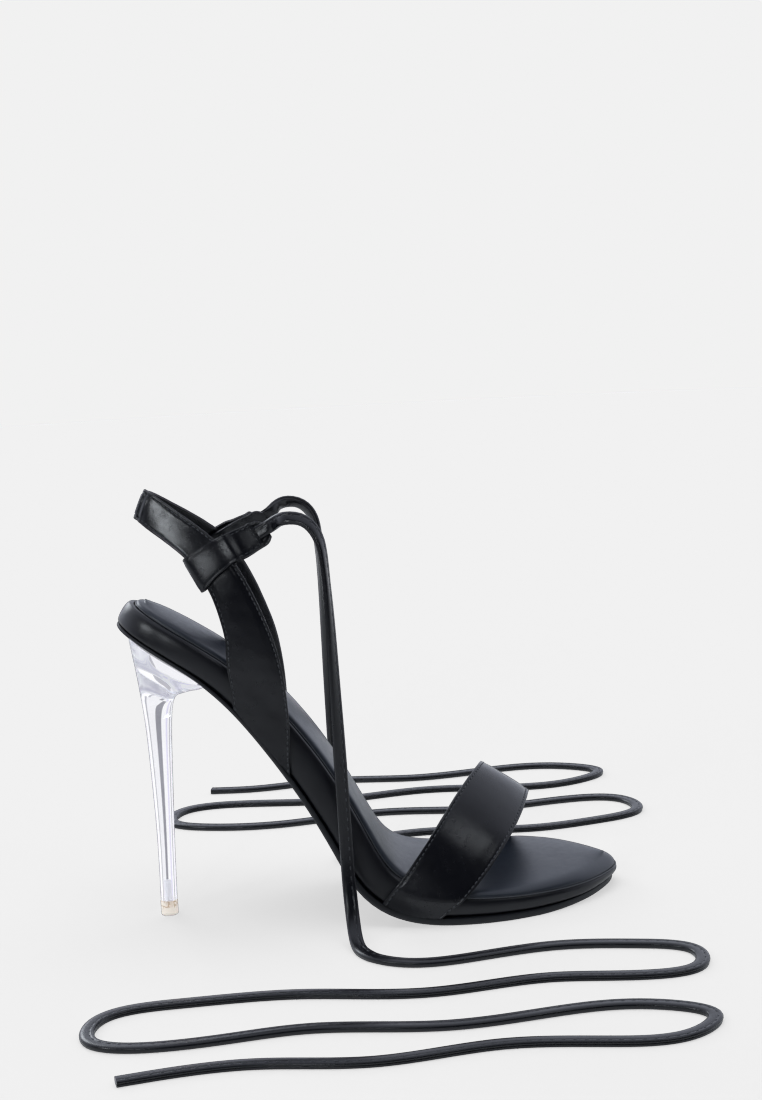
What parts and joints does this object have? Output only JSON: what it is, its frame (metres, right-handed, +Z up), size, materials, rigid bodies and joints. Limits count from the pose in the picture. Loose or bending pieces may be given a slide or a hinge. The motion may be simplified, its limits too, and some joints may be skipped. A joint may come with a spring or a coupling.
{
  "type": "lace up heeled sandal",
  "caption": "Right lace-up sandal: high clear stiletto heel, bent sole, wide strap over the toes, folded strap behind the heel with two keepers and long flat ties.",
  "frame": {"origin": "on the floor that the shoe stands on, under the middle of the shoe's own box without its ties", "axes": "+X forward to the toe, +Y to the inner (big toe) side of this right shoe, +Z up"},
  "size_m": [0.2491, 0.3579, 0.1798],
  "materials": {
    "black_pu": "satin",
    "strap_pu": "satin",
    "tie_pu": "satin",
    "sock_pu": "satin",
    "sole_rubber": "matte",
    "clear_acrylic": "polished clear",
    "pale_lift": "satin",
    "brass": "satin"
  },
  "bodies": {
    "root": {"footbed": "black_pu", "insole_sock": "sock_pu", "outsole": "sole_rubber", "heel": "clear_acrylic", "top_lift": "pale_lift", "lift_pin": "brass", "vamp_strap": "strap_pu", "counter_strap": "strap_pu", "keeper_outer": "strap_pu", "keeper_inner": "strap_pu", "tie_outer": "tie_pu", "tie_inner": "tie_pu"}
  },
  "joints": []
}
